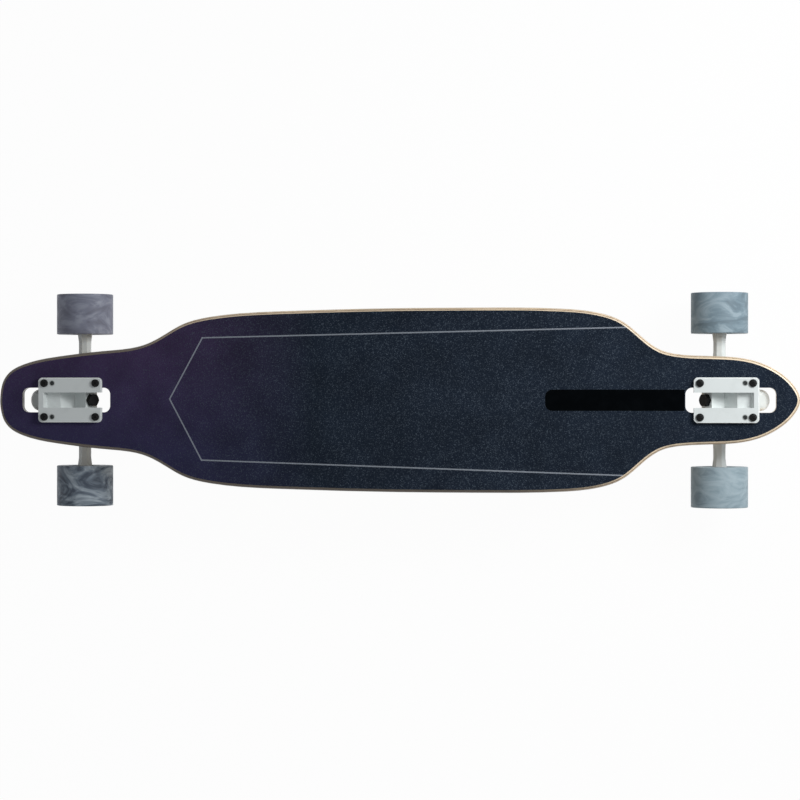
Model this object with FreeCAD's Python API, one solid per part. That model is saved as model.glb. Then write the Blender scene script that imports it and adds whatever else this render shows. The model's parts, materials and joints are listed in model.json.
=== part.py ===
import FreeCAD, Part
import math
import os

# A drop-through longboard standing on its wheels. Millimetres, +X towards the nose, +Y to the left, +Z up.
# The origin is on the ground under the middle of the board.

V = FreeCAD.Vector

# Deck. A station is a share of the length in from a tip, with a share of the lobe's or neck's half-width,
# or at a shoulder the share of the rise from the neck to the rail.
deck_length = 977.9
deck_width = 225.0
deck_thickness = 11.5
deck_edge_radius = 4.0
deck_top_z = 100.0
flat_half_width = 68.0
rail_radius = 250.0
tail_neck_half_width = 60.1
nose_neck_half_width = 53.2
tail_lobe_half_width = 43.8
nose_lobe_half_width = 48.5
tail_lobe = [(0, 0), (0.0014, 0.32), (0.0046, 0.552), (0.0118, 0.774), (0.02966, 1.0)]
tail_neck = [(0.07976, 0.905), (0.13, 1.0)]
tail_shoulder = [(0.15544, 0.042), (0.18202, 0.139), (0.20657, 0.357), (0.23111, 0.618),
                 (0.26792, 0.801), (0.35689, 0.926), (0.5, 0.99)]
nose_shoulder = [(0.4029, 1.0), (0.29451, 0.975), (0.24236, 0.867), (0.21884, 0.717),
                 (0.19532, 0.406), (0.17077, 0.125), (0.14623, 0.034)]
nose_neck = [(0.10226, 1.0)]
nose_lobe = [(0.05931, 1.0), (0.0225, 0.651), (0.0046, 0.268), (0, 0)]

# Grip sheet and the smooth strip let into it
grip_thickness = 1.0
grip_trim = 3.6
grip_crush = 0.2
grip_plate_clearance = 0.4
strip_length = 168.0
strip_width = 25.6
strip_corner = 8.5
strip_thickness = 0.9
strip_clearance = 0.1
strip_to_slot = 1.0

# Slots that the trucks drop through
truck_inset = 88.95
slot_outer_reach = 60.0
slot_inner_reach = 49.0
slot_width = 30.2
slot_corner = 8.0

# Truck bolts and their lock nuts
bolt_spacing_x = 63.5
bolt_spacing_y = 41.275
spare_hole_spacing_x = 53.975
bolt_radius = 2.4
bolt_hole_radius = 2.75
bolt_head_radius = 4.75
bolt_head_height = 2.7
bolt_head_crown = 0.8
bolt_tip_past_nut = 2.0
thread_chamfer = 0.6
bolt_recess_width = 1.1
bolt_recess_span = 5.2
bolt_recess_depth = 1.6
lock_nut_flats = 8.0
lock_nut_height = 5.6
lock_nut_collar = 1.8
thread_clearance = 0.05

# Truck geometry: the steering axis runs from the axle through the ring to the pivot
steer_angle = 50.0
axle_height = 35.0
axle_inset = 5.0
axle_to_ring = 27.9
axle_rake = 2.3
ring_to_pivot = 42.0

# Base plate
plate_length = 78.5
plate_width = 55.0
plate_thickness = 6.0
plate_corner = 5.0
plate_edge = 1.0
body_width = 27.0
channel_width = 18.5
channel_step_depth = 10.0
channel_step_inner = 13.5
channel_step_outer = 30.0
channel_outer = 33.0
seat_height = 22.5
seat_reach = 14.0
seat_wall = 5.6
cheek_inner = 33.0
block_radius = 9.0
boss_radius = 13.0
boss_mouth = 27.0
boss_end = 48.0
boss_rounding = 6.0
boss_web_depth = 6.0
casting_radius = 2.0

# Pivot cup and the hanger's nose in it
cup_radius = 9.5
cup_bottom = 42.0
nose_radius = 6.5
pivot_clearance = 0.08

# Kingpin, its nut, the washers and the bushings
kingpin_radius = 4.76
kingpin_length = 84.0
kingpin_head_seat = 49.0
kingpin_head_height = 6.0
kingpin_flats = 14.3
kingpin_hole_clearance = 0.2
hex_chamfer = 0.8
kingpin_nut_height = 11.0
kingpin_nut_collar = 3.0
washer_thickness = 2.0
washer_rim = 1.2
washer_rim_width = 0.9
rim_clearance = 0.2
bushing_radius = 12.3
bushing_waist = 0.9
cone_tip_radius = 9.0
roadside_bushing_height = 16.0
bushing_gap = 0.05

# Hanger
hanger_half_width = 90.0
ring_radius = 18.0
ring_height = 11.0
ring_hole_radius = 8.0
ring_recess = 2.0
ring_recess_clearance = 0.9
stem_radius = 10.0
stem_shoulder = 1.0
arm_root = 20.0
arm_root_flats = 20.0
arm_waist = 12.0
arm_waist_flats = 14.8
arm_flare = 10.0
arm_tip_flats = 17.4
collar_length = 8.0
collar_radius = 8.7
web_thickness = 12.0
web_reach = 46.0

# Axle, nuts, washers and spacers
axle_radius = 4.0
axle_fit = 0.02
axle_end_chamfer = 0.8
axle_past_nut = 1.5
speed_washer_radius = 6.0
speed_washer_thickness = 1.0
spacer_radius = 5.2
spacer_length = 10.0
axle_nut_flats = 12.7
axle_nut_height = 8.0
axle_nut_collar = 2.4

# Bearings
bearing_radius = 11.0
bearing_width = 7.0
inner_ring_radius = 6.05
outer_ring_bore = 9.15
ball_radius = 1.985
ball_pitch_radius = 7.6
ball_clearance = 0.04
balls_per_bearing = 7
cage_inner_radius = 6.9
cage_outer_radius = 8.3
cage_length = 5.2
shield_thickness = 0.4
shield_inset = 0.3
shield_gap = 0.3

# Wheels
wheel_radius = 35.0
wheel_width = 50.0
wheel_lip = 3.0
wheel_inner_face = 82.0
core_radius = 16.5
core_overhang = 1.5
core_ridge = 2.5
core_ridge_width = 6.0
core_shoulder_radius = 9.6
wheel_face_opening = 20.0
wheel_outer_opening = 24.0

# Worked-out places
half_length = deck_length / 2
half_width = deck_width / 2
deck_bottom_z = deck_top_z - deck_thickness
plate_x = half_length - truck_inset
plate_seat_z = deck_top_z + grip_thickness - grip_crush
plate_top_z = plate_seat_z + plate_thickness
slope = math.radians(steer_angle)
axle_x = plate_x - axle_inset
ring_x = axle_x + axle_to_ring * math.cos(slope) + axle_rake * math.sin(slope)
ring_z = axle_height + axle_to_ring * math.sin(slope) - axle_rake * math.cos(slope)
steering = FreeCAD.Placement(V(ring_x, 0, ring_z), FreeCAD.Rotation(V(0, 1, 0), -steer_angle))
bearing_inner_y = hanger_half_width + speed_washer_thickness
spacer_y = bearing_inner_y + bearing_width
bearing_outer_y = spacer_y + spacer_length
outer_washer_y = bearing_outer_y + bearing_width
axle_nut_y = outer_washer_y + speed_washer_thickness
axle_half_length = axle_nut_y + axle_nut_height + axle_past_nut
wheel_outer_face = wheel_inner_face + wheel_width
strip_end_x = plate_x - slot_inner_reach - strip_to_slot
recess_floor = ring_height / 2 - ring_recess


# Shape helpers

def closed_face(start, *steps):
    """A flat face in the XZ plane. A step is an end point, or the middle and end points of an arc."""
    edges = []
    here = V(start[0], 0, start[1])
    for step in steps + (start,):
        if isinstance(step[0], tuple):
            middle, end = (V(x, 0, z) for x, z in step)
            edges.append(Part.Arc(here, middle, end).toShape())
        else:
            end = V(step[0], 0, step[1])
            edges.append(Part.LineSegment(here, end).toShape())
        here = end
    return Part.Face(Part.Wire(edges))


def turned(start, *steps):
    """A solid of revolution about Z from a profile of radius and height."""
    return closed_face(start, *steps).revolve(V(), V(0, 0, 1), 360)


def tube(outer, inner, bottom, top):
    """A plain ring about Z."""
    return turned((inner, bottom), (outer, bottom), (outer, top), (inner, top))


def prism(points, width):
    """A profile in XZ, drawn out evenly to both sides of the middle plane."""
    face = closed_face(*points)
    face.translate(V(0, -width / 2, 0))
    return face.extrude(V(0, width, 0))


def rounded_block(x0, x1, width, z0, z1, corner):
    """An upright block between two X stations, with rounded upright corners."""
    block = Part.makeBox(x1 - x0, width, z1 - z0, V(x0, -width / 2, z0))
    upright = [e for e in block.Edges if abs(e.tangentAt(e.FirstParameter).z) > 0.9]
    return block.makeFillet(corner, upright)


def hexagon(flats, bottom, top):
    """A hexagon bar along Z with two corners on the X axis."""
    reach = flats / math.sqrt(3)
    corners = [V(reach * math.cos(math.radians(60 * i)), reach * math.sin(math.radians(60 * i)), bottom)
               for i in range(7)]
    return Part.Face(Part.makePolygon(corners)).extrude(V(0, 0, top - bottom))


def lock_nut(flats, height, collar, bore):
    """A hexagon nut standing on Z = 0 with chamfered corners and a round collar on top."""
    corner = flats / math.sqrt(3)
    hex_top = height - collar
    form = turned((0, 0), (flats / 2, 0), (corner, hex_chamfer), (corner, hex_top - hex_chamfer),
                  (flats / 2, hex_top), (flats / 2 - hex_chamfer, hex_top),
                  (flats / 2 - hex_chamfer, height - hex_chamfer),
                  (flats / 2 - 2 * hex_chamfer, height), (0, height))
    nut = form.common(hexagon(flats, 0, height))
    return nut.cut(Part.makeCylinder(bore, height))


def in_steering_frame(shape):
    """Moves a shape from the ring's own frame: X along the steering axis, Z along the kingpin's head end."""
    moved = shape.copy()
    moved.Placement = steering.multiply(moved.Placement)
    return moved


def on_axle(shape, side):
    """Lays a shape built about Z along the axle, with its height as the distance from the middle."""
    moved = shape.copy()
    lay = FreeCAD.Placement(V(axle_x, 0, axle_height), FreeCAD.Rotation(V(1, 0, 0), -90 * side))
    moved.Placement = lay.multiply(moved.Placement)
    return moved


def to_rear(shape):
    """The rear truck is the front one turned half a turn about the board's middle."""
    moved = shape.copy()
    turn = FreeCAD.Placement(V(), FreeCAD.Rotation(V(0, 0, 1), 180))
    moved.Placement = turn.multiply(moved.Placement)
    return moved


def lifted(shape, height):
    moved = shape.copy()
    moved.translate(V(0, 0, height))
    return moved


def save(shape, name):
    shape.exportStep("parts/" + name + ".step")


def save_both(shape, name):
    save(shape, "front_" + name)
    save(to_rear(shape), "rear_" + name)


# Deck outline: a smooth line round the board, from the blunt tail to the pointed nose

def widths(stations, widest):
    return [(share, part * widest) for share, part in stations]


def rises(stations, neck):
    return [(share, neck + part * (half_width - neck)) for share, part in stations]


def outline_points():
    """The stations round the deck, up its left side from tail to nose and back down its right side."""
    tail = widths(tail_lobe, tail_lobe_half_width) + widths(tail_neck, tail_neck_half_width)
    tail += rises(tail_shoulder, tail_neck_half_width)
    nose = rises(nose_shoulder, nose_neck_half_width) + widths(nose_neck, nose_neck_half_width)
    nose += widths(nose_lobe, nose_lobe_half_width)
    left = [V(share * deck_length - half_length, w, 0) for share, w in tail]
    left += [V(half_length - share * deck_length, w, 0) for share, w in nose]
    return left + [V(p.x, -p.y, 0) for p in reversed(left[1:-1])]


def smooth_line(points):
    line = Part.BSplineCurve()
    line.interpolate(Points=points, PeriodicFlag=True)
    return line


def outline_wire(trim=0):
    """A smooth closed line through the stations, or parallel to it, cut at every second one."""
    points = outline_points()
    line = smooth_line(points)
    if trim:
        points = [p + inward(line, p) * trim for p in points]
        line = smooth_line(points)
    return line.toShape().split([line.parameter(p) for p in points[2::2]])


def inward(line, point):
    """The direction square to the line, towards the middle of the board."""
    along = line.getD1(line.parameter(point))[1]
    return V(along.y, -along.x, 0).normalize()


def pressed_sheet(bottom, top):
    """A slab with a flat middle and rails that curve up, between two heights above the deck's base."""
    middle_z = deck_bottom_z + rail_radius
    reach = half_width + deck_thickness
    edges = []

    def arc(radius, side):
        turn = math.asin((reach - flat_half_width) / rail_radius)
        ends = [V(0, side * (flat_half_width + radius * math.sin(a)), middle_z - radius * math.cos(a))
                for a in (0, turn / 2, turn)]
        return ends, Part.Arc(*ends).toShape()

    rims = {}
    for height in (bottom, top):
        radius = rail_radius - height
        left, left_arc = arc(radius, 1)
        right, right_arc = arc(radius, -1)
        edges += [left_arc, right_arc, Part.LineSegment(right[0], left[0]).toShape()]
        rims[height] = (left[2], right[2])
    for side in (0, 1):
        edges.append(Part.LineSegment(rims[bottom][side], rims[top][side]).toShape())
    section = Part.Face(Part.Wire(Part.__sortEdges__(edges)))
    section.translate(V(-deck_length, 0, 0))
    return section.extrude(V(2 * deck_length, 0, 0))


def upright(wire):
    """An upright column of a flat outline, tall enough to cut the pressed sheets."""
    return Part.Face(wire).extrude(V(0, 0, 2 * deck_top_z))


def slot():
    return rounded_block(plate_x - slot_inner_reach, plate_x + slot_outer_reach, slot_width,
                         0, 2 * deck_top_z, slot_corner)


def bolt_places():
    return [V(plate_x + i * bolt_spacing_x / 2, j * bolt_spacing_y / 2, 0)
            for i in (-1, 1) for j in (-1, 1)]


def bolt_holes():
    return [Part.makeCylinder(bolt_hole_radius, 2 * deck_top_z, p) for p in bolt_places()]


def strip_blank(grow):
    """The strip's outline: square at the slot, rounded at its other end."""
    start = strip_end_x - strip_length
    width = strip_width + 2 * grow
    block = Part.makeBox(strip_length + 2 * grow, width, 2 * deck_top_z, V(start - grow, -width / 2, 0))
    rounded = [e for e in block.Edges
               if abs(e.tangentAt(e.FirstParameter).z) > 0.9 and e.CenterOfMass.x < start + 1]
    return block.makeFillet(strip_corner, rounded)


def both_ends(shapes):
    return shapes + [to_rear(s) for s in shapes]


def make_deck():
    blank = pressed_sheet(0, deck_thickness).common(upright(outline_wire())).Solids[0]
    board = blank.cut(both_ends([slot()] + bolt_holes()))
    rails = [e for e in board.Edges if isinstance(e.Curve, Part.BSplineCurve)]
    return board.makeFillet(deck_edge_radius, rails)


def make_grip():
    trimmed = upright(outline_wire(grip_trim))
    sheet = pressed_sheet(deck_thickness, deck_thickness + grip_thickness).common(trimmed).Solids[0]
    return sheet.cut(both_ends([slot(), plate_print()] + bolt_holes()) + [strip_blank(strip_clearance)])


def plate_print():
    """The place where a clamped base plate has pressed the grit down."""
    half = plate_length / 2 + grip_plate_clearance
    return rounded_block(plate_x - half, plate_x + half, plate_width + 2 * grip_plate_clearance,
                         plate_seat_z, 2 * deck_top_z, plate_corner + grip_plate_clearance)


def make_strip():
    layer = Part.makeBox(deck_length, strip_width, strip_thickness, V(0, -strip_width / 2, deck_top_z))
    return layer.common(strip_blank(0))


# Truck bolts

def make_bolt():
    shank_end = deck_bottom_z - lock_nut_height - bolt_tip_past_nut
    top = plate_top_z + bolt_head_height
    bolt = turned((0, shank_end), (bolt_radius - thread_chamfer, shank_end),
                  (bolt_radius, shank_end + thread_chamfer),
                  (bolt_radius, plate_top_z), (bolt_head_radius, plate_top_z),
                  (bolt_head_radius, top - bolt_head_crown),
                  ((bolt_head_radius / 2, top - bolt_head_crown / 4), (0, top)))
    for along in (0, 90):
        arm = Part.makeBox(bolt_recess_span, bolt_recess_width, 2 * bolt_recess_depth,
                           V(-bolt_recess_span / 2, -bolt_recess_width / 2, top - bolt_recess_depth))
        arm.rotate(V(), V(0, 0, 1), along + 45)
        bolt = bolt.cut(arm)
    return bolt


def at_bolt_places(shape):
    copies = []
    for place in bolt_places():
        copy = shape.copy()
        copy.translate(place)
        copies.append(copy)
    return Part.makeCompound(both_ends(copies))


def make_bolt_nut():
    nut = lock_nut(lock_nut_flats, lock_nut_height, lock_nut_collar, bolt_radius + thread_clearance)
    nut.rotate(V(), V(1, 0, 0), 180)
    return lifted(nut, deck_bottom_z)


# Base plate: a flange on the gripped deck with a channelled body under it, a kingpin block and a pivot boss

def steer_point(along, up):
    """World X and Z of a point given along the steering axis and along the kingpin."""
    point = steering.multVec(V(along, 0, up))
    return (point.x, point.z)


def make_baseplate():
    flange = rounded_block(plate_x - plate_length / 2, plate_x + plate_length / 2, plate_width,
                           plate_seat_z, plate_top_z, plate_corner)
    rim = [e for e in flange.Edges if e.BoundBox.ZMin > plate_top_z - 0.01]
    flange = flange.makeFillet(plate_edge, rim)
    inside_z = plate_seat_z + plate_thickness / 2
    web_x = plate_x + (plate_length / 2 + channel_outer) / 2
    body = prism([(web_x, inside_z), (plate_x - cheek_inner, inside_z),
                  (plate_x - cheek_inner, plate_seat_z),
                  steer_point(-block_radius, kingpin_head_seat),
                  steer_point(-seat_reach, seat_height), steer_point(boss_mouth, seat_height),
                  steer_point(boss_mouth, boss_web_depth), steer_point(boss_end, boss_web_depth),
                  steer_point(boss_end, boss_radius)], body_width)
    sides = [e for e in body.Edges if e.BoundBox.YLength < 0.01 and e.BoundBox.ZMax < plate_seat_z - 0.01]
    body = body.makeFillet(casting_radius, sides)
    boss = Part.makeCylinder(boss_radius, boss_end - boss_mouth, V(boss_mouth, 0, 0), V(1, 0, 0))
    cap = [e for e in boss.Edges if e.BoundBox.XMin > boss_end - 0.01]
    boss = in_steering_frame(boss.makeFillet(boss_rounding, cap))
    casting = flange.fuse([body, boss]).removeSplitter()
    return casting.cut([make_channel(), cup_seat(), kingpin_bore()] + plate_holes())


def make_channel():
    """The pocket seen from above: a step, a slope along the seat wall and the kingpin's head space."""
    above = plate_top_z + plate_thickness
    step_z = plate_top_z - channel_step_depth
    inner_end = plate_x - plate_length
    valley = steer_point(block_radius, seat_height + seat_wall)
    head_low = steer_point(-2 * block_radius, kingpin_head_seat)
    return prism([(plate_x + channel_outer, above), (plate_x + channel_outer, plate_top_z),
                  (plate_x + channel_step_outer, step_z), (plate_x + channel_step_inner, step_z),
                  valley, steer_point(block_radius, kingpin_head_seat), head_low,
                  (inner_end, head_low[1]), (inner_end, above)], channel_width)


def cup_seat():
    seat = Part.makeCylinder(cup_radius, cup_bottom - boss_mouth, V(boss_mouth, 0, 0), V(1, 0, 0))
    return in_steering_frame(seat)


def kingpin_bore():
    radius = kingpin_radius + kingpin_hole_clearance
    return in_steering_frame(Part.makeCylinder(radius, 2 * kingpin_head_seat))


def plate_holes():
    """Four bolt holes and the two open ones of the shorter pattern."""
    spare_x = plate_x - bolt_spacing_x / 2 + spare_hole_spacing_x
    places = bolt_places() + [V(spare_x, j * bolt_spacing_y / 2, 0) for j in (-1, 1)]
    return [Part.makeCylinder(bolt_hole_radius, 2 * deck_top_z, p) for p in places]


# Steering parts on the base plate

def make_pivot_cup():
    bore = nose_radius + pivot_clearance
    ball_x = nose_centre()
    low = -cup_bottom
    half = bore / math.sqrt(2)
    cup = turned((0, low), (cup_radius, low), (cup_radius, -boss_mouth), (bore, -boss_mouth), (bore, -ball_x),
                 ((half, -ball_x - half), (0, -ball_x - bore)))
    return in_steering_frame(along_pivot(cup))


def nose_centre():
    """Where the round end of the hanger's nose is centred, so that the cup keeps a floor under it."""
    return ring_to_pivot - 1.5 * nose_radius


def along_pivot(shape):
    """Lays a shape built down the Z axis along the steering axis."""
    shape.rotate(V(), V(0, 1, 0), -90)
    return shape


def make_kingpin():
    tip = kingpin_head_seat - kingpin_length
    top = kingpin_head_seat + kingpin_head_height
    corner = kingpin_flats / math.sqrt(3)
    rounded = turned((0, kingpin_head_seat), (corner, kingpin_head_seat), (corner, top - hex_chamfer),
                     (kingpin_flats / 2, top), (0, top))
    head = rounded.common(hexagon(kingpin_flats, kingpin_head_seat, top))
    shank = turned((0, tip), (kingpin_radius - thread_chamfer, tip), (kingpin_radius, tip + thread_chamfer),
                   (kingpin_radius, kingpin_head_seat), (0, kingpin_head_seat))
    return in_steering_frame(head.fuse(shank))


def roadside_washer_top():
    return -recess_floor - bushing_gap - roadside_bushing_height


def make_kingpin_nut():
    nut = lock_nut(kingpin_flats, kingpin_nut_height, kingpin_nut_collar, kingpin_radius + thread_clearance)
    nut.rotate(V(), V(1, 0, 0), 180)
    return in_steering_frame(lifted(nut, roadside_washer_top() - washer_thickness))


def cupped_washer(bushing_end_radius):
    """A washer lying under Z = 0 whose rim stands up round the end of a bushing."""
    rim = bushing_end_radius + rim_clearance
    bore = kingpin_radius + kingpin_hole_clearance
    return turned((bore, -washer_thickness), (rim + washer_rim_width, -washer_thickness),
                  (rim + washer_rim_width, washer_rim), (rim, washer_rim), (rim, 0), (bore, 0))


def make_boardside_washer():
    washer = cupped_washer(bushing_radius)
    washer.rotate(V(), V(1, 0, 0), 180)
    return in_steering_frame(lifted(washer, seat_height - washer_thickness))


def make_roadside_washer():
    return in_steering_frame(lifted(cupped_washer(cone_tip_radius), roadside_washer_top()))


def make_boardside_bushing():
    bottom = recess_floor + bushing_gap
    top = seat_height - washer_thickness
    bore = kingpin_radius + kingpin_hole_clearance
    waist = (bushing_radius - bushing_waist, (bottom + top) / 2)
    return in_steering_frame(turned((bore, bottom), (bushing_radius, bottom), (waist, (bushing_radius, top)),
                                    (bore, top)))


def make_roadside_bushing():
    top = -recess_floor - bushing_gap
    bottom = roadside_washer_top()
    bore = kingpin_radius + kingpin_hole_clearance
    shoulder = top - ring_recess - bushing_waist
    return in_steering_frame(turned((bore, bottom), (cone_tip_radius, bottom),
                                    (cone_tip_radius, bottom + washer_rim), (bushing_radius, shoulder),
                                    (bushing_radius, top), (bore, top)))


# Hanger: ring on the kingpin, pivot nose, faceted arms and the web that joins them

def octagon(flats, y):
    """An eight-sided section of an arm, with two flats level."""
    reach = flats / 2 / math.cos(math.radians(22.5))
    turns = [math.radians(22.5 + 45 * i) for i in range(9)]
    return Part.makePolygon([V(reach * math.cos(a) - axle_to_ring, y, reach * math.sin(a) + axle_rake)
                             for a in turns])


def make_arm(side):
    collar_start = hanger_half_width - collar_length
    waist_end = collar_start - arm_flare
    stations = [(arm_root_flats, 0), (arm_root_flats, arm_root), (arm_waist_flats, waist_end - arm_waist),
                (arm_waist_flats, waist_end), (arm_tip_flats, collar_start)]
    arm = Part.makeLoft([octagon(flats, side * y) for flats, y in stations], True, True)
    collar = Part.makeCylinder(collar_radius, collar_length, V(-axle_to_ring, side * collar_start, axle_rake),
                               V(0, side, 0))
    end = [e for e in collar.Edges if abs(e.BoundBox.Center.y) > hanger_half_width - 0.01]
    return [arm, collar.makeChamfer(hex_chamfer, end)]


def make_web():
    """The gusset between the arms and the ring, as wide as the ring where they meet."""
    lean = ring_radius / 2
    outline = [(-axle_to_ring, -web_reach), (-lean, -ring_radius), (0, -ring_radius),
               (0, ring_radius), (-lean, ring_radius), (-axle_to_ring, web_reach),
               (-axle_to_ring, -web_reach)]
    plan = Part.makePolygon([V(x, y, -web_thickness / 2) for x, y in outline])
    web = Part.Face(plan).extrude(V(0, 0, web_thickness))
    rim = [e for e in web.Edges if e.BoundBox.ZLength < 0.01 and e.BoundBox.XLength > lean / 2]
    return web.makeFillet(casting_radius, rim)


def make_stem():
    """The pivot nose: a tapered stem out of the ring with a round end."""
    tip = nose_centre()
    half = nose_radius / math.sqrt(2)
    stem = turned((0, 0), (0, -tip - nose_radius), ((half, -tip - half), (nose_radius, -tip)),
                  (nose_radius, stem_shoulder - boss_mouth), (stem_radius, -ring_radius), (stem_radius, 0))
    return along_pivot(stem)


def make_hanger():
    ring = Part.makeCylinder(ring_radius, ring_height, V(0, 0, -ring_height / 2))
    ring = ring.makeFillet(casting_radius, [e for e in ring.Edges if e.BoundBox.ZLength < 0.01])
    casting = ring.fuse([make_web(), make_stem()] + make_arm(1) + make_arm(-1)).removeSplitter()
    hole = Part.makeCylinder(ring_hole_radius, 2 * ring_height, V(0, 0, -ring_height))
    recess_radius = bushing_radius + ring_recess_clearance
    upper = Part.makeCylinder(recess_radius, ring_radius, V(0, 0, recess_floor))
    lower = Part.makeCylinder(recess_radius, ring_radius, V(0, 0, -recess_floor - ring_radius))
    bore = Part.makeCylinder(axle_radius + axle_fit, 4 * hanger_half_width,
                             V(-axle_to_ring, -2 * hanger_half_width, axle_rake), V(0, 1, 0))
    return in_steering_frame(casting.cut([hole, upper, lower, bore]))


# Axle and what is clamped on it

def make_axle():
    half = axle_half_length
    rod = turned((0, -half), (axle_radius - axle_end_chamfer, -half), (axle_radius, axle_end_chamfer - half),
                 (axle_radius, half - axle_end_chamfer), (axle_radius - axle_end_chamfer, half), (0, half))
    return on_axle(rod, 1)


def both_sides(shapes):
    return Part.makeCompound([on_axle(s, side) for side in (1, -1) for s in shapes])


def make_axle_nuts():
    nut = lock_nut(axle_nut_flats, axle_nut_height, axle_nut_collar, axle_radius + axle_fit)
    return both_sides([lifted(nut, axle_nut_y)])


def make_speed_washers():
    bore = axle_radius + axle_fit
    return both_sides([tube(speed_washer_radius, bore, y, y + speed_washer_thickness)
                       for y in (hanger_half_width, outer_washer_y)])


def make_spacers():
    return both_sides([tube(spacer_radius, axle_radius + axle_fit, spacer_y, spacer_y + spacer_length)])


# Bearings, built from Z = 0 and then set at their two places in a wheel

def at_bearings(shape):
    return [lifted(shape, y) for y in (bearing_inner_y, bearing_outer_y)]


def race_groove():
    return Part.makeTorus(ball_pitch_radius, ball_radius + ball_clearance, V(0, 0, bearing_width / 2))


def make_inner_ring():
    return tube(inner_ring_radius, axle_radius + axle_fit, 0, bearing_width).cut(race_groove())


def make_outer_ring():
    return tube(bearing_radius, outer_ring_bore, 0, bearing_width).cut(race_groove())


def ball_places():
    turns = [2 * math.pi * i / balls_per_bearing for i in range(balls_per_bearing)]
    return [V(ball_pitch_radius * math.cos(a), ball_pitch_radius * math.sin(a), bearing_width / 2)
            for a in turns]


def make_balls():
    return [Part.makeSphere(ball_radius, p) for p in ball_places()]


def make_cage():
    low = (bearing_width - cage_length) / 2
    band = tube(cage_outer_radius, cage_inner_radius, low, low + cage_length)
    middle = V(0, 0, bearing_width / 2)
    return band.cut([Part.makeCylinder(ball_radius + ball_clearance, bearing_radius, middle, p - middle)
                     for p in ball_places()])


def make_shields():
    inner = inner_ring_radius + shield_gap
    lows = (shield_inset, bearing_width - shield_inset - shield_thickness)
    return [tube(outer_ring_bore, inner, z, z + shield_thickness) for z in lows]


# Wheels

core_inner_end = bearing_inner_y - core_overhang
core_outer_end = outer_washer_y + core_overhang


def core_outline():
    """The core's outside, from its inner to its outer end, with a ridge that locks it in the tyre."""
    middle = (core_inner_end + core_outer_end) / 2
    top = core_radius + core_ridge
    low = middle - core_ridge_width
    high = middle + core_ridge_width
    return [(core_radius, core_inner_end), (core_radius, low), (top, low + core_ridge),
            (top, high - core_ridge), (core_radius, high), (core_radius, core_outer_end)]


def make_core():
    bore = [(bearing_radius, core_outer_end), (bearing_radius, bearing_outer_y),
            (core_shoulder_radius, bearing_outer_y), (core_shoulder_radius, spacer_y),
            (bearing_radius, spacer_y), (bearing_radius, core_inner_end)]
    return turned(*(core_outline() + bore))


def make_tyre():
    lip = wheel_lip
    edge = wheel_radius - lip
    bend = lip / math.sqrt(2)
    inner_centre = wheel_inner_face + lip
    outer_centre = wheel_outer_face - lip
    outside = [(wheel_outer_opening, wheel_outer_face), (edge, wheel_outer_face),
               ((edge + bend, outer_centre + bend), (wheel_radius, outer_centre)),
               (wheel_radius, inner_centre),
               ((edge + bend, inner_centre - bend), (edge, wheel_inner_face)),
               (wheel_face_opening, wheel_inner_face)]
    return turned(*(core_outline() + outside))


def save_wheel(end, front_side, place):
    """One wheel: the rear truck is turned about, so its left wheel is on the front one's right."""
    pieces = {
        "tyre": [make_tyre()],
        "core": [make_core()],
        "bearing_outer_rings": at_bearings(make_outer_ring()),
        "bearing_shields": [s for shield in make_shields() for s in at_bearings(shield)],
        "bearing_balls": [b for ball in make_balls() for b in at_bearings(ball)],
        "bearing_cages": at_bearings(make_cage()),
    }
    for name, shapes in pieces.items():
        placed = [place(on_axle(s, front_side)) for s in shapes]
        whole = placed[0] if len(placed) == 1 else Part.makeCompound(placed)
        save(whole, end + "_" + name)


os.makedirs("parts", exist_ok=True)

save(make_deck(), "deck")
save(make_grip(), "grip_sheet")
save(make_strip(), "smooth_strip")
save(at_bolt_places(make_bolt()), "truck_bolts")
save(at_bolt_places(make_bolt_nut()), "truck_bolt_nuts")

save_both(make_baseplate(), "baseplate")
save_both(make_pivot_cup(), "pivot_cup")
save_both(make_kingpin(), "kingpin")
save_both(make_kingpin_nut(), "kingpin_nut")
save_both(make_boardside_washer(), "boardside_washer")
save_both(make_roadside_washer(), "roadside_washer")
save_both(make_boardside_bushing(), "boardside_bushing")
save_both(make_roadside_bushing(), "roadside_bushing")
save_both(make_hanger(), "hanger")
save_both(make_axle(), "axle")
save_both(make_axle_nuts(), "axle_nuts")
save_both(make_speed_washers(), "speed_washers")
save_both(both_sides(at_bearings(make_inner_ring())), "bearing_inner_rings")
save_both(make_spacers(), "bearing_spacers")

save_wheel("front_left", 1, lambda shape: shape)
save_wheel("front_right", -1, lambda shape: shape)
save_wheel("rear_left", -1, to_rear)
save_wheel("rear_right", 1, to_rear)
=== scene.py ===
import json
import math

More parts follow.
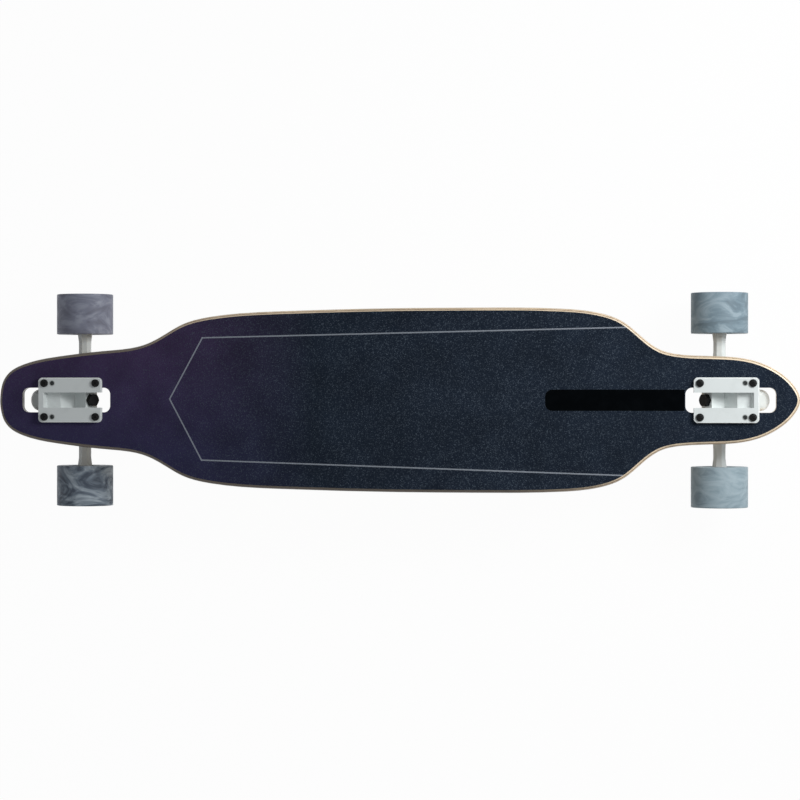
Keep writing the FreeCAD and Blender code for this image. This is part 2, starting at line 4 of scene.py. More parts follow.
import bmesh
import bpy
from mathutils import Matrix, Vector


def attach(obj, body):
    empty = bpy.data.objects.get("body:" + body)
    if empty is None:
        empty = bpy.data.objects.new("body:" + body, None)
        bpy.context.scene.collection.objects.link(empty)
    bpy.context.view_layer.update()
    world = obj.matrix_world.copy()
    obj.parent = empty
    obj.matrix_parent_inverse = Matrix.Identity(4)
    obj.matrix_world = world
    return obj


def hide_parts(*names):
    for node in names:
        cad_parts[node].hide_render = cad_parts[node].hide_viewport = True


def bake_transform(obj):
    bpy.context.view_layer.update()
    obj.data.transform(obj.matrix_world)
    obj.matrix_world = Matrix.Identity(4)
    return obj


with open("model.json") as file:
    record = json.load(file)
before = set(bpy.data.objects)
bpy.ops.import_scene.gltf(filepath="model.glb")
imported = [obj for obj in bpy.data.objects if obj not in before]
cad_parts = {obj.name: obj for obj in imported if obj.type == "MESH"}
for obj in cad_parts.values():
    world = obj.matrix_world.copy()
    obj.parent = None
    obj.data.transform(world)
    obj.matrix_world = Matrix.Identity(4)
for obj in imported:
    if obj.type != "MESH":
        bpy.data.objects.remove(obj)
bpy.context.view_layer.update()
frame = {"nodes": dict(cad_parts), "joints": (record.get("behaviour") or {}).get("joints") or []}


# The deck: maple veneers glued under pressure into one board with raised rails, sawn to outline and
# rounded over, so the stack of pale and brown veneers shows all round its edge. The underside is the
# bare bottom veneer under clear lacquer, and a shade is painted on the edge towards the tail and along one
# side.

class Recipe:
    """One material or node group as it is mixed. Each call adds a node and gives back its output."""

    def __init__(self, tree):
        self.tree = tree

    def add(self, kind, inputs, output=0, **settings):
        node = self.tree.nodes.new(kind)
        for name, value in settings.items():
            setattr(node, name, value)
        for key, value in inputs.items():
            self.feed(node.inputs[key], value)
        return node.outputs[output] if node.outputs else None

    def feed(self, socket, value):
        if isinstance(value, bpy.types.NodeSocket):
            self.tree.links.new(value, socket)
        else:
            socket.default_value = value

    def math(self, operation, *values):
        return self.add("ShaderNodeMath", dict(enumerate(values)), operation=operation)

    def vector(self, operation, *values):
        return self.add("ShaderNodeVectorMath", dict(enumerate(values)), operation=operation)

    def place(self):
        """Where a point sits on the piece itself, in metres, so that the finish moves with it."""
        return self.add("ShaderNodeTexCoord", {}, "Object")

    def coordinates(self, letters):
        """The coordinates of that place that the letters name, in their order."""
        return [self.add("ShaderNodeSeparateXYZ", {0: self.place()}, letter) for letter in letters]

    def stretched(self, place, x, y, z):
        return self.vector("MULTIPLY", place, (x, y, z))

    def length(self, across, up):
        """How long a line is that runs so far across and so far up."""
        squares = [self.math("MULTIPLY", side, side) for side in (across, up)]
        return self.math("SQRT", self.math("ADD", *squares))

    def noise(self, place, scale, detail=2.0, roughness=0.5, distortion=0.0, **settings):
        return self.add("ShaderNodeTexNoise", {"Vector": place, "Scale": scale, "Detail": detail,
                                               "Roughness": roughness, "Distortion": distortion},
                        "Fac", **settings)

    def grains(self, place, scale, output="Distance"):
        return self.add("ShaderNodeTexVoronoi", {"Vector": place, "Scale": scale}, output)

    def spread(self, value, low, high, to_low=0.0, to_high=1.0):
        return self.add("ShaderNodeMapRange", {"Value": value, "From Min": low, "From Max": high,
                                               "To Min": to_low, "To Max": to_high})

    def ramp(self, value, *stops, interpolation="LINEAR"):
        node = self.tree.nodes.new("ShaderNodeValToRGB")
        band = node.color_ramp
        band.interpolation = interpolation
        while len(band.elements) < len(stops):
            band.elements.new(1.0)
        for element, (position, colour) in zip(band.elements, stops):
            element.position = position
            element.color = (*colour, 1.0)
        self.feed(node.inputs[0], value)
        return node.outputs["Color"]

    def blend(self, share, under, over, mode="MIX"):
        colours = [(*c, 1.0) if isinstance(c, tuple) else c for c in (under, over)]
        return self.add("ShaderNodeMix", {0: share, 6: colours[0], 7: colours[1]}, 2,
                        data_type="RGBA", blend_type=mode)

    def shaded(self, colour, shade):
        """A colour made darker or lighter by a number round one."""
        grey = self.add("ShaderNodeCombineXYZ", {0: shade, 1: shade, 2: shade})
        return self.blend(1.0, colour, grey, "MULTIPLY")

    def relief(self, height, strength, distance):
        return self.add("ShaderNodeBump", {"Height": height, "Strength": strength, "Distance": distance})

    def group(self, tree, output, **inputs):
        """Places a shared effect, with its own values, and gives back one of its outputs."""
        return self.add("ShaderNodeGroup", inputs, output, node_tree=tree)


def finish(name, plain, colour, roughness, normal=None):
    """A material of one shader: plain values on its own sockets, and what varies linked to it."""
    material = bpy.data.materials.new(name)
    material.use_nodes = True
    recipe = Recipe(material.node_tree)
    material.node_tree.nodes.clear()
    varied = {"Base Color": colour(recipe), "Roughness": roughness(recipe)}
    if normal:
        varied["Normal"] = normal(recipe)
    shader = recipe.add("ShaderNodeBsdfPrincipled", {**plain, **varied})
    recipe.add("ShaderNodeOutputMaterial", {"Surface": shader})
    return material


def dress(material, *names):
    """Puts a finish on CAD nodes, whose shapes stay as they are."""
    for name in names:
        for slot in frame["nodes"][name].material_slots:
            slot.material = material


def effect(name, inputs, outputs):
    """An empty shared effect with named sockets, and its two ends."""
    tree = bpy.data.node_groups.new(name, "ShaderNodeTree")
    for socket, kind, value in inputs:
        made = tree.interface.new_socket(socket, in_out="INPUT", socket_type=kind)
        if value is not None:
            made.default_value = value
    for socket, kind in outputs:
        tree.interface.new_socket(socket, in_out="OUTPUT", socket_type=kind)
    return tree, tree.nodes.new("NodeGroupInput").outputs, tree.nodes.new("NodeGroupOutput").inputs


deck_bottom = 0.0885
deck_thickness = 0.0115
flat_half_width = 0.068
rail_radius = 0.250
pale_maple = (0.93, 0.745, 0.535)
honey_maple = (0.80, 0.585, 0.345)
deep_maple = (0.60, 0.42, 0.24)
brown_veneer = (0.36, 0.205, 0.105)
glue_line = (0.12, 0.065, 0.035)
glue_thickness = 0.00008
face_veneer = 0.0008
dyed_veneer = 0.0005
inner_veneer = 0.00135
core_veneer = 0.00155
upper_stack = [(core_veneer, pale_maple), (core_veneer, deep_maple), (inner_veneer, pale_maple),
               (dyed_veneer, brown_veneer), (face_veneer, pale_maple)]
lower_stack = [(face_veneer, honey_maple)] + upper_stack[-2::-1]
# Painted shade on the deck's edge, towards the tail and along one side: its colour, lean, start, end and
# depth.
edge_shade_brown = (0.046, 0.034, 0.026)
edge_shade_lean = 2.6
edge_shade_from, edge_shade_to, edge_shade_most = 0.05, -0.15, 0.9
adhesive_black = (0.008, 0.010, 0.013)
strip_seat_middle = 0.268
strip_seat_half_length = 0.088
strip_seat_half_width = 0.0145
noise_low, noise_high = 0.3, 0.7

wood_grain, ends_in, ends_out = effect(
    "wood grain",
    [("Place", "NodeSocketVector", None), ("Along", "NodeSocketFloat", 3.0),
     ("Across", "NodeSocketFloat", 60.0)],
    [("Figure", "NodeSocketFloat"), ("Fibre", "NodeSocketFloat")])
mix = Recipe(wood_grain)
run = mix.add("ShaderNodeCombineXYZ", {0: ends_in["Along"], 1: ends_in["Across"], 2: ends_in["Across"]})
grain_place = mix.vector("MULTIPLY", ends_in["Place"], run)
mix.feed(ends_out["Figure"], mix.noise(grain_place, 1.0, 4.0, 0.55, 1.6))
mix.feed(ends_out["Fibre"], mix.noise(grain_place, 14.0, 3.0, 0.6))


def depth_in_stack(r):
    """How far up the deck a point lies, from 0 at its bottom face to 1, square to the pressed veneers."""
    y, z = r.coordinates("YZ")
    out = r.math("MAXIMUM", r.math("SUBTRACT", r.math("ABSOLUTE", y), flat_half_width), 0.0)
    drop = r.math("SUBTRACT", deck_bottom + rail_radius, z)
    return r.math("DIVIDE", r.math("SUBTRACT", rail_radius, r.length(out, drop)), deck_thickness)


def deck_colour(r):
    stops = []
    height = 0.0
    for thickness, colour in lower_stack + upper_stack:
        glued_from = height + thickness - glue_thickness
        stops += [(height / deck_thickness, colour), (glued_from / deck_thickness, glue_line)]
        height += thickness
    stack = r.ramp(depth_in_stack(r), *stops[:-1], interpolation="CONSTANT")
    figure = r.group(wood_grain, "Figure", Place=r.place(), Along=2.6, Across=62.0)
    fibre = r.group(wood_grain, "Fibre", Place=r.place(), Along=1.1, Across=40.0)
    shade = r.math("ADD", r.spread(figure, 0.32, 0.68, 0.86, 1.12),
                   r.spread(fibre, noise_low, noise_high, -0.13, 0.11))
    wood = r.shaded(stack, shade)
    x, y = r.coordinates("XY")
    facing_up = r.add("ShaderNodeSeparateXYZ", {0: r.add("ShaderNodeNewGeometry", {}, "Normal")}, "Z")
    # Painted shade: the edge darkens towards the tail and along one side, away from the lamp.
    towards_edge_shade = r.math("ADD", x, r.math("MULTIPLY", y, edge_shade_lean))
    edge_shade = r.math("MULTIPLY", r.spread(towards_edge_shade, edge_shade_from, edge_shade_to, 0.0, edge_shade_most),
                     r.spread(facing_up, -0.6, -0.2))
    seat = r.math("MULTIPLY", r.math("COMPARE", x, strip_seat_middle, strip_seat_half_length),
                  r.math("COMPARE", y, 0.0, strip_seat_half_width))
    adhesive = r.math("MULTIPLY", seat, r.spread(facing_up, 0.85, 0.95))
    return r.blend(adhesive, r.blend(edge_shade, wood, edge_shade_brown), adhesive_black)


def fine_fibre(r):
    return r.group(wood_grain, "Fibre", Place=r.place(), Along=9.0, Across=160.0)


def deck_roughness(r):
    return r.spread(fine_fibre(r), 0.25, 0.75, 0.34, 0.48)


def deck_relief(r):
    return r.relief(fine_fibre(r), 0.12, 0.0002)


maple = finish("lacquered maple", {"Coat Weight": 0.25, "Coat Roughness": 0.18}, deck_colour,
               deck_roughness, deck_relief)
dress(maple, "deck")


# The grip sheet: coarse silicon-carbide grit bonded to a dark backing and stuck down over the top
# veneer, trimmed just inside the edge. Its light flecks are painted glints, and a painted violet cast
# of the light tints it towards the tail. A fine grey pinstripe is printed on it, pointed at the tail
# end, and painted light shows pale where the open holes of the base plates end on it.

grit_dark = (0.0117, 0.0182, 0.0318)
# The colour of painted glints on the grit's flecks.
grit_glint = (0.086, 0.108, 0.140)
# Two colours of a painted violet cast of the light, laid on the grip towards the tail.
light_cast_violet = (0.061, 0.037, 0.096)
light_cast_indigo = (0.040, 0.036, 0.094)
fleck_grains = 1250.0
fine_grains = 1900.0
coarse_bumps = 1100.0
fine_bumps = 2600.0
stripe_grey = (0.36, 0.385, 0.44)
stripe_half_width = 0.00082
stripe_point = Vector((-0.2773, 0.0013))
stripe_left_corner = Vector((-0.2370, 0.0762))
stripe_right_corner = Vector((-0.2380, -0.0734))
stripe_left_end = Vector((0.330, 0.0893))
stripe_right_end = Vector((0.330, -0.0928))
spare_hole_x, spare_hole_y = 0.42223, 0.02064
spare_hole_radius = 0.00275
# Painted light: pale grey where the open holes of the plates end on the grip sheet.
hole_light_grey = (0.30, 0.315, 0.315)


def stripe(r):
    """One where a point lies on the printed line, which runs from each rail to the point and back."""
    x, y = r.coordinates("XY")
    on_line = 0.0
    for start, end in ((stripe_point, stripe_left_corner), (stripe_left_corner, stripe_left_end),
                       (stripe_point, stripe_right_corner), (stripe_right_corner, stripe_right_end)):
        along = (end - start).normalized()
        half_length = (end - start).length / 2
        dx = r.math("SUBTRACT", x, start.x)
        dy = r.math("SUBTRACT", y, start.y)
        ahead = r.math("ADD", r.math("MULTIPLY", dx, along.x), r.math("MULTIPLY", dy, along.y))
        aside = r.math("SUBTRACT", r.math("MULTIPLY", dy, along.x), r.math("MULTIPLY", dx, along.y))
        between = r.math("COMPARE", ahead, half_length, half_length + stripe_half_width)
        near = r.math("COMPARE", aside, 0.0, stripe_half_width)
        on_line = r.math("MAXIMUM", r.math("MULTIPLY", between, near), on_line)
    return on_line


def from_spare_hole(r):
    """How far a point lies, seen from above, from the middle of the nearest open hole of the plates."""
    x, y = r.coordinates("XY")
    dx = r.math("SUBTRACT", r.math("ABSOLUTE", x), spare_hole_x)
    dy = r.math("SUBTRACT", r.math("ABSOLUTE", y), spare_hole_y)
    return r.length(dx, dy)


def grip_colour(r):
    x, y = r.coordinates("XY")
    # A painted violet cast of the light, changing across the sheet and growing towards the tail.
    violet_light_cast = r.blend(r.spread(y, -0.07, 0.07), light_cast_indigo, light_cast_violet)
    grit_under_violet_cast = r.blend(r.spread(x, -0.10, -0.30), grit_dark, violet_light_cast)
    # The light flecks are painted glints of the grit, made fainter towards the tail and a little towards the
    # nose.
    flecks = r.add("ShaderNodeSeparateColor", {0: r.grains(r.place(), fleck_grains, "Color")}, 0)
    fine = r.add("ShaderNodeSeparateColor", {0: r.grains(r.place(), fine_grains, "Color")}, 1)
    sparkle = r.math("ADD", r.spread(flecks, 0.80, 1.0), r.spread(fine, 0.6, 1.0, 0.0, 0.2))
    sparkle = r.math("MULTIPLY", sparkle, r.spread(x, -0.36, 0.0, 0.4, 1.0))
    sparkle = r.math("MULTIPLY", sparkle, r.spread(x, 0.15, 0.40, 1.0, 0.75))
    patches = r.spread(r.noise(r.place(), 26.0, 3.0), noise_low, noise_high, 0.82, 1.16)
    grit = r.shaded(r.blend(sparkle, grit_under_violet_cast, grit_glint), patches)
    worn_ink = r.spread(fine, 0.0, 1.0, 0.7, 1.0)
    printed = r.blend(r.math("MULTIPLY", stripe(r), worn_ink), grit, stripe_grey)
    # Painted light at the bottom of each open hole.
    return r.blend(r.math("LESS_THAN", from_spare_hole(r), spare_hole_radius), printed, hole_light_grey)


def grip_roughness(r):
    return r.spread(r.grains(r.place(), fine_grains), 0.0, 0.6, 0.72, 0.95)


def grip_relief(r):
    fine = r.math("MULTIPLY", r.grains(r.place(), fine_bumps), 0.5)
    return r.relief(r.math("ADD", r.grains(r.place(), coarse_bumps), fine), 0.55, 0.0006)


gritted = finish("gritted sheet", {"Specular IOR Level": 0.075}, grip_colour, grip_roughness, grip_relief)
dress(gritted, "grip_sheet")


# The smooth strip: a bare black film let into the grip behind the nose truck, satin, with the faint
# rub marks that shoes leave on it.

rub_marks, ends_in, ends_out = effect(
    "rub marks",
    [("Place", "NodeSocketVector", None), ("Size", "NodeSocketFloat", 40.0)],
    [("Haze", "NodeSocketFloat"), ("Scratch", "NodeSocketFloat"), ("Peel", "NodeSocketFloat")])
mix = Recipe(rub_marks)
mix.feed(ends_out["Haze"], mix.noise(ends_in["Place"], ends_in["Size"], 5.0, 0.6))
scratch_place = mix.stretched(ends_in["Place"], 0.7, 9.0, 4.0)
scratch = mix.noise(scratch_place, mix.math("MULTIPLY", ends_in["Size"], 3.0), 2.0, 0.7, 0.4)
mix.feed(ends_out["Scratch"], mix.spread(scratch, 0.62, 0.74))
peel_size = mix.math("MULTIPLY", ends_in["Size"], 16.0)
mix.feed(ends_out["Peel"], mix.noise(ends_in["Place"], peel_size, 2.0, 0.45))


def rubbed(r, mark, size):
    return r.group(rub_marks, mark, Place=r.place(), Size=size)


def hazed_colour(size, clean, hazed, low=0.35, high=0.7, most=1.0):
    """A colour that turns to another in soft patches."""
    return lambda r: r.blend(r.spread(rubbed(r, "Haze", size), low, high, 0.0, most), clean, hazed)


def hazed_roughness(size, low, high):
    """A gloss that changes in the same soft patches."""
    return lambda r: r.spread(rubbed(r, "Haze", size), noise_low, noise_high, low, high)


def peeled(size, strength, depth):
    """The faint unevenness of a skin that was sprayed, rolled or moulded."""
    return lambda r: r.relief(rubbed(r, "Peel", size), strength, depth)


strip_black = (0.0008, 0.0014, 0.0020)
strip_rubbed = (0.0035, 0.0045, 0.0055)
film = finish("satin black film", {"Specular IOR Level": 0.012},
              hazed_colour(60.0, strip_black, strip_rubbed, 0.45, 0.8, 0.5),
              hazed_roughness(60.0, 0.30, 0.44), peeled(60.0, 0.06, 0.0002))
dress(film, "smooth_strip")


# Truck bolts, kingpins and their lock nuts: hardened steel with a black oxide skin, a little brighter
# where a driver or a spanner has rubbed the high places. Their lower ends carry a rolled thread.

rolled_thread, ends_in, ends_out = effect(
    "rolled thread",
    [("Along", "NodeSocketFloat", 0.0), ("Pitch", "NodeSocketFloat", 0.001)],
    [("Height", "NodeSocketFloat")])
mix = Recipe(rolled_thread)
ridges = mix.math("MULTIPLY", mix.math("DIVIDE", ends_in["Along"], ends_in["Pitch"]), 2 * math.pi)
mix.feed(ends_out["Height"], mix.math("SINE", ridges))

thread_depth = 0.0003
ridge_share = 0.4
skin_share = 0.03
bolt_pitch = 0.0008
bolt_thread_top = 0.0885
kingpin_pitch = 0.00106
kingpin_thread_top = 0.050
kingpin_slope = math.radians(50)
oxide_black = (0.006, 0.0062, 0.0066)
rubbed_steel = (0.055, 0.055, 0.058)
oxide_marks = 170.0
oxide_patches = 240.0


def oxide_colour(r):
    scratched = r.math("MULTIPLY", rubbed(r, "Scratch", oxide_marks), 0.35)
    hazed = r.spread(rubbed(r, "Haze", oxide_patches), 0.55, 0.85, 0.0, 0.35)
    return r.blend(r.math("ADD", scratched, hazed), oxide_black, rubbed_steel)


def threaded(r, along, pitch, z, top):
    """The ridges of a thread below the height where it starts, with the faint skin of the steel."""
    ridges = r.group(rolled_thread, "Height", Along=along, Pitch=pitch)
    shown = r.math("MULTIPLY", ridges, r.math("LESS_THAN", z, top))
    skin = r.math("MULTIPLY", rubbed(r, "Peel", oxide_marks), skin_share)
    return r.relief(r.math("ADD", r.math("MULTIPLY", shown, ridge_share), skin), 1.0, thread_depth)


def bolt_relief(r):
    z, = r.coordinates("Z")
    return threaded(r, z, bolt_pitch, z, bolt_thread_top)


def kingpin_relief(r):
    x, z = r.coordinates("XZ")
    inward = r.math("MULTIPLY", r.math("ABSOLUTE", x), -math.sin(kingpin_slope))
    along = r.math("ADD", inward, r.math("MULTIPLY", z, math.cos(kingpin_slope)))
    return threaded(r, along, kingpin_pitch, z, kingpin_thread_top)


oxide_skin = {"Metallic": 0.55, "Specular IOR Level": 0.22}
oxide_roughness = hazed_roughness(oxide_patches, 0.38, 0.56)
black_nuts = finish("black oxide nuts", oxide_skin, oxide_colour, oxide_roughness,
                    peeled(oxide_marks, 0.08, 0.0001))
dress(black_nuts, "truck_bolt_nuts", "front_kingpin_nut", "rear_kingpin_nut")
black_bolts = finish("black oxide bolts", oxide_skin, oxide_colour, oxide_roughness, bolt_relief)
dress(black_bolts, "truck_bolts")
black_kingpins = finish("black oxide kingpins", oxide_skin, oxide_colour, oxide_roughness, kingpin_relief)
dress(black_kingpins, "front_kingpin", "rear_kingpin")


# Base plates and hangers: cast aluminium, tumbled smooth and painted white. The paint has the faint
# peel of a sprayed coat over a slightly grainy casting, and dust greys it in patches. A highlight is
# painted along the plates' rims, and a shade is painted in a ring round their open holes.

paint_white = (0.775, 0.805, 0.80)
paint_dusty = (0.66, 0.69, 0.68)
# A painted highlight for the plates' rims.
rim_highlight_white = (0.95, 0.965, 0.96)
# Painted shade in a ring round each open hole: its grey, its width and how dark it gets.
ring_shade_grey = (0.30, 0.315, 0.31)
paint_patches = 55.0
paint_scratches = 60.0
ring_shade_width = 0.0014
ring_shade_most = 0.75
plate_middle = 0.400
plate_half_length = 0.03925
plate_half_width = 0.0275
plate_top = 0.1068
rim_width = 0.0016


def rim_highlight(r):
    """One along the rounded top rim of a base plate, where a highlight is painted."""
    x, y, z = r.coordinates("XYZ")
    from_middle = r.math("ABSOLUTE", r.math("SUBTRACT", r.math("ABSOLUTE", x), plate_middle))
    lengthways = r.math("SUBTRACT", from_middle, plate_half_length - rim_width)
    sideways = r.math("SUBTRACT", r.math("ABSOLUTE", y), plate_half_width - rim_width)
    near_edge = r.spread(r.math("MAXIMUM", lengthways, sideways), 0.0, rim_width / 2)
    return r.math("MULTIPLY", near_edge, r.spread(z, plate_top - rim_width, plate_top - rim_width / 2))


def paint_colour(r):
    scratched = r.math("MULTIPLY", rubbed(r, "Scratch", paint_scratches), 0.25)
    hazed = r.spread(rubbed(r, "Haze", paint_patches), 0.5, 0.8, 0.0, 0.6)
    dusty = r.blend(r.math("ADD", hazed, scratched), paint_white, paint_dusty)
    # Painted highlight along the plates' rims.
    painted = r.blend(rim_highlight(r), dusty, rim_highlight_white)
    # Painted shade of a countersink in a ring round each open hole.
    ring_shade = r.spread(from_spare_hole(r), spare_hole_radius + ring_shade_width, spare_hole_radius + ring_shade_width / 3,
                    0.0, ring_shade_most)
    return r.blend(ring_shade, painted, ring_shade_grey)


white_paint = finish("white painted casting", {"Coat Weight": 0.2, "Coat Roughness": 0.25}, paint_colour,
                     hazed_roughness(paint_patches, 0.36, 0.50), peeled(paint_patches, 0.10, 0.0004))
dress(white_paint, "front_baseplate", "rear_baseplate", "front_hanger", "rear_hanger")


# Axles, axle nuts, washers, spacers, bearing rings and balls: turned, pressed or ground steel, bright
# zinc on the outer pieces, with fine marks left by the lathe. The axles carry a thread.

zinc_bright = (0.62, 0.63, 0.65)
zinc_dull = (0.40, 0.41, 0.43)
axle_pitch = 0.00106


def lathe_marks(r):
    return r.noise(r.stretched(r.place(), 0.15, 3.0, 0.15), 900.0, 2.0)


def zinc_roughness(r):
    return r.spread(lathe_marks(r), noise_low, noise_high, 0.24, 0.42)


def zinc_relief(r):
    return r.relief(lathe_marks(r), 0.10, 0.0001)


def axle_relief(r):
    y, = r.coordinates("Y")
    return r.relief(r.group(rolled_thread, "Height", Along=y, Pitch=axle_pitch), ridge_share, thread_depth)


zinc_colour = hazed_colour(130.0, zinc_bright, zinc_dull)
zinc = finish("bright zinc steel", {"Metallic": 1.0}, zinc_colour, zinc_roughness, zinc_relief)
axle_steel = finish("threaded axle steel", {"Metallic": 1.0}, zinc_colour, zinc_roughness, axle_relief)
ends = ("front", "rear")
sides = ("left", "right")
wheels = [end + "_" + side for end in ends for side in sides]
for end in ends:
    dress(axle_steel, end + "_axle")
    dress(zinc, *[end + "_" + piece for piece in ("axle_nuts", "speed_washers", "bearing_inner_rings",
                                                  "bearing_spacers", "boardside_washer", "roadside_washer")])
for wheel in wheels:
    dress(zinc, wheel + "_bearing_outer_rings", wheel + "_bearing_balls")


# Bushings: cast urethane rings round the kingpin, a barrel on the board side of the hanger's ring
# and a cone on the road side.

bushing_radius = 0.0123
bushing_bore = 0.00496
bushing_lip = 0.0009
waist = 0.0009
barrel_from, barrel_to = 0.00355, 0.0205
cone_from, cone_shoulder, cone_to = 0.00355, 0.00645, 0.01955
cone_tip_radius = 0.0090
cone_cylinder_end = 0.01835
bushing_turns = 72
bushing_steps = 28


def barrel_radius(share):
    return bushing_radius - waist * math.sin(math.pi * share)


def cone_radius(share):
    height = cone_from + share * (cone_to - cone_from)
    fall = min(max((height - cone_shoulder) / (cone_cylinder_end - cone_shoulder), 0.0), 1.0)
    return bushing_radius - fall * (bushing_radius - cone_tip_radius)


def cast_ring(name, outline, centre, along, turns):
    """A closed ring cast in a turned mould: its outline of (radius, height) points swept round an axis."""
    across = along.orthogonal().normalized()
    aside = along.cross(across)
    shape = bmesh.new()
    rows = []
    for radius, height in outline:
        row = []
        for turn in range(turns):
            angle = 2 * math.pi * turn / turns
            out = across * math.cos(angle) + aside * math.sin(angle)
            row.append(shape.verts.new(centre + out * radius + along * height))
        rows.append(row)
    for low, high in zip(rows, rows[1:] + rows[:1]):
        for turn in range(turns):
            following = (turn + 1) % turns
            shape.faces.new((low[turn], low[following], high[following], high[turn]))
    bmesh.ops.recalc_face_normals(shape, faces=shape.faces)
    mesh = bpy.data.meshes.new(name)
    shape.to_mesh(mesh)
    shape.free()
    mesh.polygons.foreach_set("use_smooth", [True] * len(mesh.polygons))
    piece = bpy.data.objects.new(name, mesh)
    bpy.context.scene.collection.objects.link(piece)
    return piece


def bushing_outline(radius_at, start, end):
    """From the bore at one end, over the outside with its softened lips, to the bore at the other end."""
    outline = [(bushing_bore, start)]
    for i in range(bushing_steps + 1):
        share = i / bushing_steps
        from_end = min(share, 1 - share) * abs(end - start)
        cut = bushing_lip - math.sqrt(max(bushing_lip ** 2 - max(bushing_lip - from_end, 0.0) ** 2, 0.0))
        outline.append((radius_at(share) - cut, start + share * (end - start)))
    return outline + [(bushing_bore, end)]


urethane_black = (0.020, 0.020, 0.022)
urethane_bloom = (0.045, 0.045, 0.048)
bushing_cast = finish("cast bushing urethane", {"Specular IOR Level": 0.4},
                      hazed_colour(120.0, urethane_black, urethane_bloom, 0.4, 0.75),
                      hazed_roughness(120.0, 0.40, 0.58), peeled(90.0, 0.08, 0.0002))
joints = {joint["name"]: joint for joint in frame["joints"]}
for end in ends:
    steer = joints[end + "_steer"]
    ring_centre = Vector(steer["pos_m"])
    steering_axis = Vector(steer["axis"]).normalized()
    kingpin_axis = steering_axis.cross(Vector((0, 1, 0)))
    kingpin_axis *= math.copysign(1.0, kingpin_axis.z)
    for side, radius_at, start, stop in (("boardside", barrel_radius, barrel_from, barrel_to),
                                         ("roadside", cone_radius, -cone_from, -cone_to)):
        cast = cast_ring(end + "_" + side + "_bushing_cast", bushing_outline(radius_at, start, stop),
                         ring_centre, kingpin_axis, bushing_turns)
        cast.data.materials.append(bushing_cast)
        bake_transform(cast)
        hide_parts(end + "_" + side + "_bushing")


# Pivot cups: small black urethane cups pressed into the bosses of the base plates. They take the
# hangers' noses and are cast of the same urethane as the bushings.

dress(bushing_cast, "front_pivot_cup", "rear_pivot_cup")


# Tyres: urethane poured round the core in greys that are stirred together, so each wheel has a marbled
# swirl of its own. The lips are cut square, and the mouths open towards the core on both sides.

tread_radius = 0.035
tyre_half_width = 0.025
square_lip = 0.0012
mouth_lip = 0.0008
lip_steps = 5
outer_mouth = 0.024
inner_mouth = 0.020
core_seat = 0.0165
core_lock = 0.019
seat_from, seat_to = -0.0175, 0.0095
lock_from, lock_to = -0.0100, 0.0020
lock_slope = 0.0025
tyre_turns = 160


def softened(corners):
    """An outline whose corners, given as (radius, height, rounding), are rounded by a smooth curve."""
    outline = []
    for i, (radius, height, rounding) in enumerate(corners):
        corner = Vector((radius, height))
        if not rounding:
            outline.append(corner)
            continue
        before = (Vector(corners[i - 1][:2]) - corner).normalized() * rounding
        after = (Vector(corners[(i + 1) % len(corners)][:2]) - corner).normalized() * rounding
        for step in range(lip_steps + 1):
            share = step / lip_steps
            outline.append(corner + before * (1 - share) ** 2 + after * share ** 2)
    return outline


tyre_outline = softened([
    (core_seat, seat_from, 0), (core_seat, lock_from, 0), (core_lock, lock_from + lock_slope, 0),
    (core_lock, lock_to - lock_slope, 0), (core_seat, lock_to, 0), (core_seat, seat_to, 0),
    (outer_mouth, tyre_half_width, mouth_lip), (tread_radius, tyre_half_width, square_lip),
    (tread_radius, -tyre_half_width, square_lip), (inner_mouth, -tyre_half_width, mouth_lip)])

# Each pour: its own shift in the swirl, then its dark, middle and light grey.
wheel_pours = {
    "front_left": ((0.31, 0.02, 0.11), (0.160, 0.215, 0.255), (0.210, 0.280, 0.330), (0.32, 0.40, 0.455)),
    "front_right": ((0.07, 0.45, 0.23), (0.245, 0.312, 0.358), (0.318, 0.403, 0.453), (0.39, 0.475, 0.525)),
    "rear_left": ((0.53, 0.17, 0.05), (0.195, 0.200, 0.258), (0.255, 0.265, 0.340), (0.36, 0.375, 0.455)),
    "rear_right": ((0.19, 0.61, 0.37), (0.068, 0.086, 0.117), (0.200, 0.240, 0.293), (0.48, 0.54, 0.60))}
pour_lean = 0.55
pour_stretch = (0.6, 1.3, 0.9)
smoke_size = 30.0
wisp_size = 21.0


def marbled(name, shift, dark, middle, light):
    """One wheel's pour: three greys stirred into folds that are soft on one side and sharp on the other."""

    def colour(r):
        place = r.add("ShaderNodeMapping", {"Vector": r.vector("ADD", r.place(), shift),
                                            "Rotation": (0.0, 0.0, pour_lean), "Scale": pour_stretch})
        smoke = r.noise(place, smoke_size, 4.0, 0.55, 2.2)
        wisps = r.noise(place, wisp_size, 3.0, 0.55, 1.6, noise_type="RIDGED_MULTIFRACTAL")
        pour = r.ramp(smoke, (0.38, dark), (0.50, middle), (0.64, light))
        return r.blend(r.spread(wisps, 0.9, 1.6, 0.0, 0.7), pour, light)

    return finish(name, {"Specular IOR Level": 0.3}, colour, hazed_roughness(80.0, 0.44, 0.62),
                  peeled(70.0, 0.10, 0.0003))


for wheel, pour in wheel_pours.items():
    middle = Vector(joints[wheel + "_wheel_spin"]["pos_m"])
    outward = Vector((0, math.copysign(1.0, middle.y), 0))
    tyre = cast_ring(wheel + "_tyre_cast", tyre_outline, middle, outward, tyre_turns)
    tyre.data.materials.append(marbled(wheel + " marbled urethane", *pour))
    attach(tyre, wheel + "_wheel")
    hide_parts(wheel + "_tyre")


# Cores and bearing cages: moulded plastic, dark grey with a fine moulded texture. The core carries the
# two bearings inside the tyre, and the cages keep the balls apart.

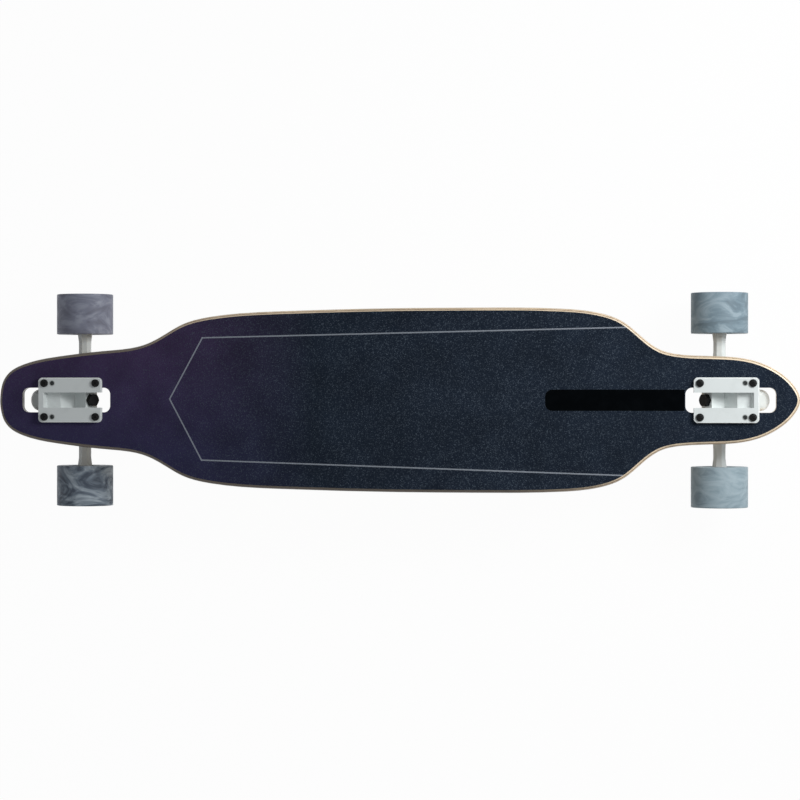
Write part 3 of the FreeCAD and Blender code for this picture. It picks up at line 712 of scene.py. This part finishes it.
core_grey = (0.060, 0.062, 0.066)
core_pale = (0.095, 0.097, 0.102)
moulded = finish("moulded core plastic", {"Specular IOR Level": 0.45},
                 hazed_colour(150.0, core_grey, core_pale), hazed_roughness(150.0, 0.46, 0.62),
                 peeled(150.0, 0.15, 0.0002))
for wheel in wheels:
    dress(moulded, wheel + "_core", wheel + "_bearing_cages")


# Bearing shields: thin pressed steel discs with a dark finish, snapped into the outer rings to keep
# dirt from the balls.

shield_dark = (0.055, 0.057, 0.062)
shield_pale = (0.14, 0.145, 0.155)
shields = finish("pressed bearing shield", {"Metallic": 0.85}, hazed_colour(300.0, shield_dark, shield_pale),
                 hazed_roughness(300.0, 0.28, 0.42))
for wheel in wheels:
    dress(shields, wheel + "_bearing_shields")


# Where it is shown: over a plain white floor, low enough to clear a wheel when a truck is turned to its
# limit, lit by one soft lamp on the nose side and a pale room, and seen from above with a long lens.

floor_half = 6.0
floor_height = -0.03
floor_white = (0.86, 0.86, 0.86, 1.0)
pure_white = (1.0, 1.0, 1.0, 1.0)
shown_white = 0.97
floor_mesh = bpy.data.meshes.new("floor")
floor_mesh.from_pydata([(x * floor_half, y * floor_half, floor_height)
                        for x, y in ((-1, -1), (1, -1), (1, 1), (-1, 1))], [], [(0, 1, 2, 3)])
floor = bpy.data.objects.new("floor", floor_mesh)
bpy.context.scene.collection.objects.link(floor)


def shown_directly(r):
    """One for rays that show a surface itself, straight or in a reflection, and not the light it gives."""
    rays = r.tree.nodes.new("ShaderNodeLightPath").outputs
    mirrored = r.math("MAXIMUM", rays["Is Glossy Ray"], rays["Is Transmission Ray"])
    return r.math("MAXIMUM", rays["Is Camera Ray"], mirrored)


floor_finish = bpy.data.materials.new("white floor")
floor_finish.use_nodes = True
floor_finish.node_tree.nodes.clear()
mix = Recipe(floor_finish.node_tree)
lit = mix.add("ShaderNodeBsdfDiffuse", {"Color": floor_white})
plain = mix.add("ShaderNodeEmission", {"Color": pure_white, "Strength": 1.0})
plain_share = mix.math("MULTIPLY", shown_directly(mix), shown_white)
from_above = mix.add("ShaderNodeMixShader", {0: plain_share, 1: lit, 2: plain})
from_below = mix.add("ShaderNodeBsdfTransparent", {})
underneath = mix.add("ShaderNodeNewGeometry", {}, "Backfacing")
seen = mix.add("ShaderNodeMixShader", {0: underneath, 1: from_above, 2: from_below})
mix.add("ShaderNodeOutputMaterial", {"Surface": seen})
floor.data.materials.append(floor_finish)

room_tint = (0.93, 0.97, 1.0, 1.0)
room_light = 0.24
backdrop_light = 0.98
world = bpy.data.worlds.new("studio")
bpy.context.scene.world = world
world.use_nodes = True
world.node_tree.nodes.clear()
mix = Recipe(world.node_tree)
room = mix.add("ShaderNodeBackground", {"Color": room_tint, "Strength": room_light})
backdrop = mix.add("ShaderNodeBackground", {"Color": pure_white, "Strength": backdrop_light})
around = mix.add("ShaderNodeMixShader", {0: shown_directly(mix), 1: room, 2: backdrop})
mix.add("ShaderNodeOutputWorld", {"Surface": around})

lamp_place = Vector((0.95, 0.45, 0.85))
lamp_aim = Vector((0.25, 0.0, 0.08))
lamp = bpy.data.lights.new("nose lamp", "AREA")
lamp.shape = "SQUARE"
lamp.size = 0.5
lamp.energy = 10.6
lamp.color = (0.97, 1.0, 1.0)
stand = bpy.data.objects.new("nose lamp", lamp)
stand.location = lamp_place
stand.rotation_euler = (lamp_aim - lamp_place).to_track_quat("-Z", "Y").to_euler()
stand.visible_camera = False
bpy.context.scene.collection.objects.link(stand)

camera_place = (0.2394, 0.0086, 3.2621)
camera_turn = (-0.151, 4.230, 0.010)
camera = bpy.data.cameras.new("photo view")
camera.sensor_width = 36.0
camera.lens = 117.23
camera.clip_end = 50.0
viewer = bpy.data.objects.new("photo view", camera)
viewer.location = camera_place
viewer.rotation_euler = [math.radians(angle) for angle in camera_turn]
bpy.context.scene.collection.objects.link(viewer)
bpy.context.scene.camera = viewer
bpy.context.scene.view_settings.view_transform = "Standard"
